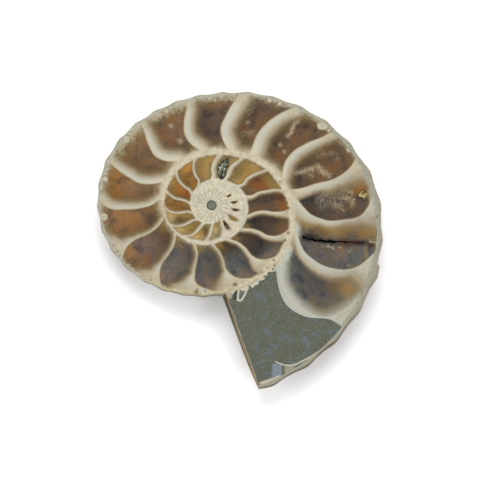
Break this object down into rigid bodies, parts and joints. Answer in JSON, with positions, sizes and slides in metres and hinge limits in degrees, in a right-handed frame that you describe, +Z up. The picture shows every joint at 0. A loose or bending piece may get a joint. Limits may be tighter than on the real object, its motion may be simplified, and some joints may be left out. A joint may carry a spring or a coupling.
{
  "type": "ammonite fossil half",
  "caption": "Sawn and polished half of a coiled, chambered ammonite fossil, with one flat face and one rounded, ribbed side.",
  "frame": {"origin": "centre of the underside of the bounding box, on the surface that the fossil lies on", "axes": "+Z up, towards the polished face; the broken, open end of the coil points towards -Y"},
  "size_m": [0.0802, 0.0836, 0.0134],
  "materials": {
    "fossil_stone": "polished on the cut face, matt and finely ribbed on the shell side"
  },
  "bodies": {
    "root": {"ammonite_half": "fossil_stone"}
  },
  "joints": []
}
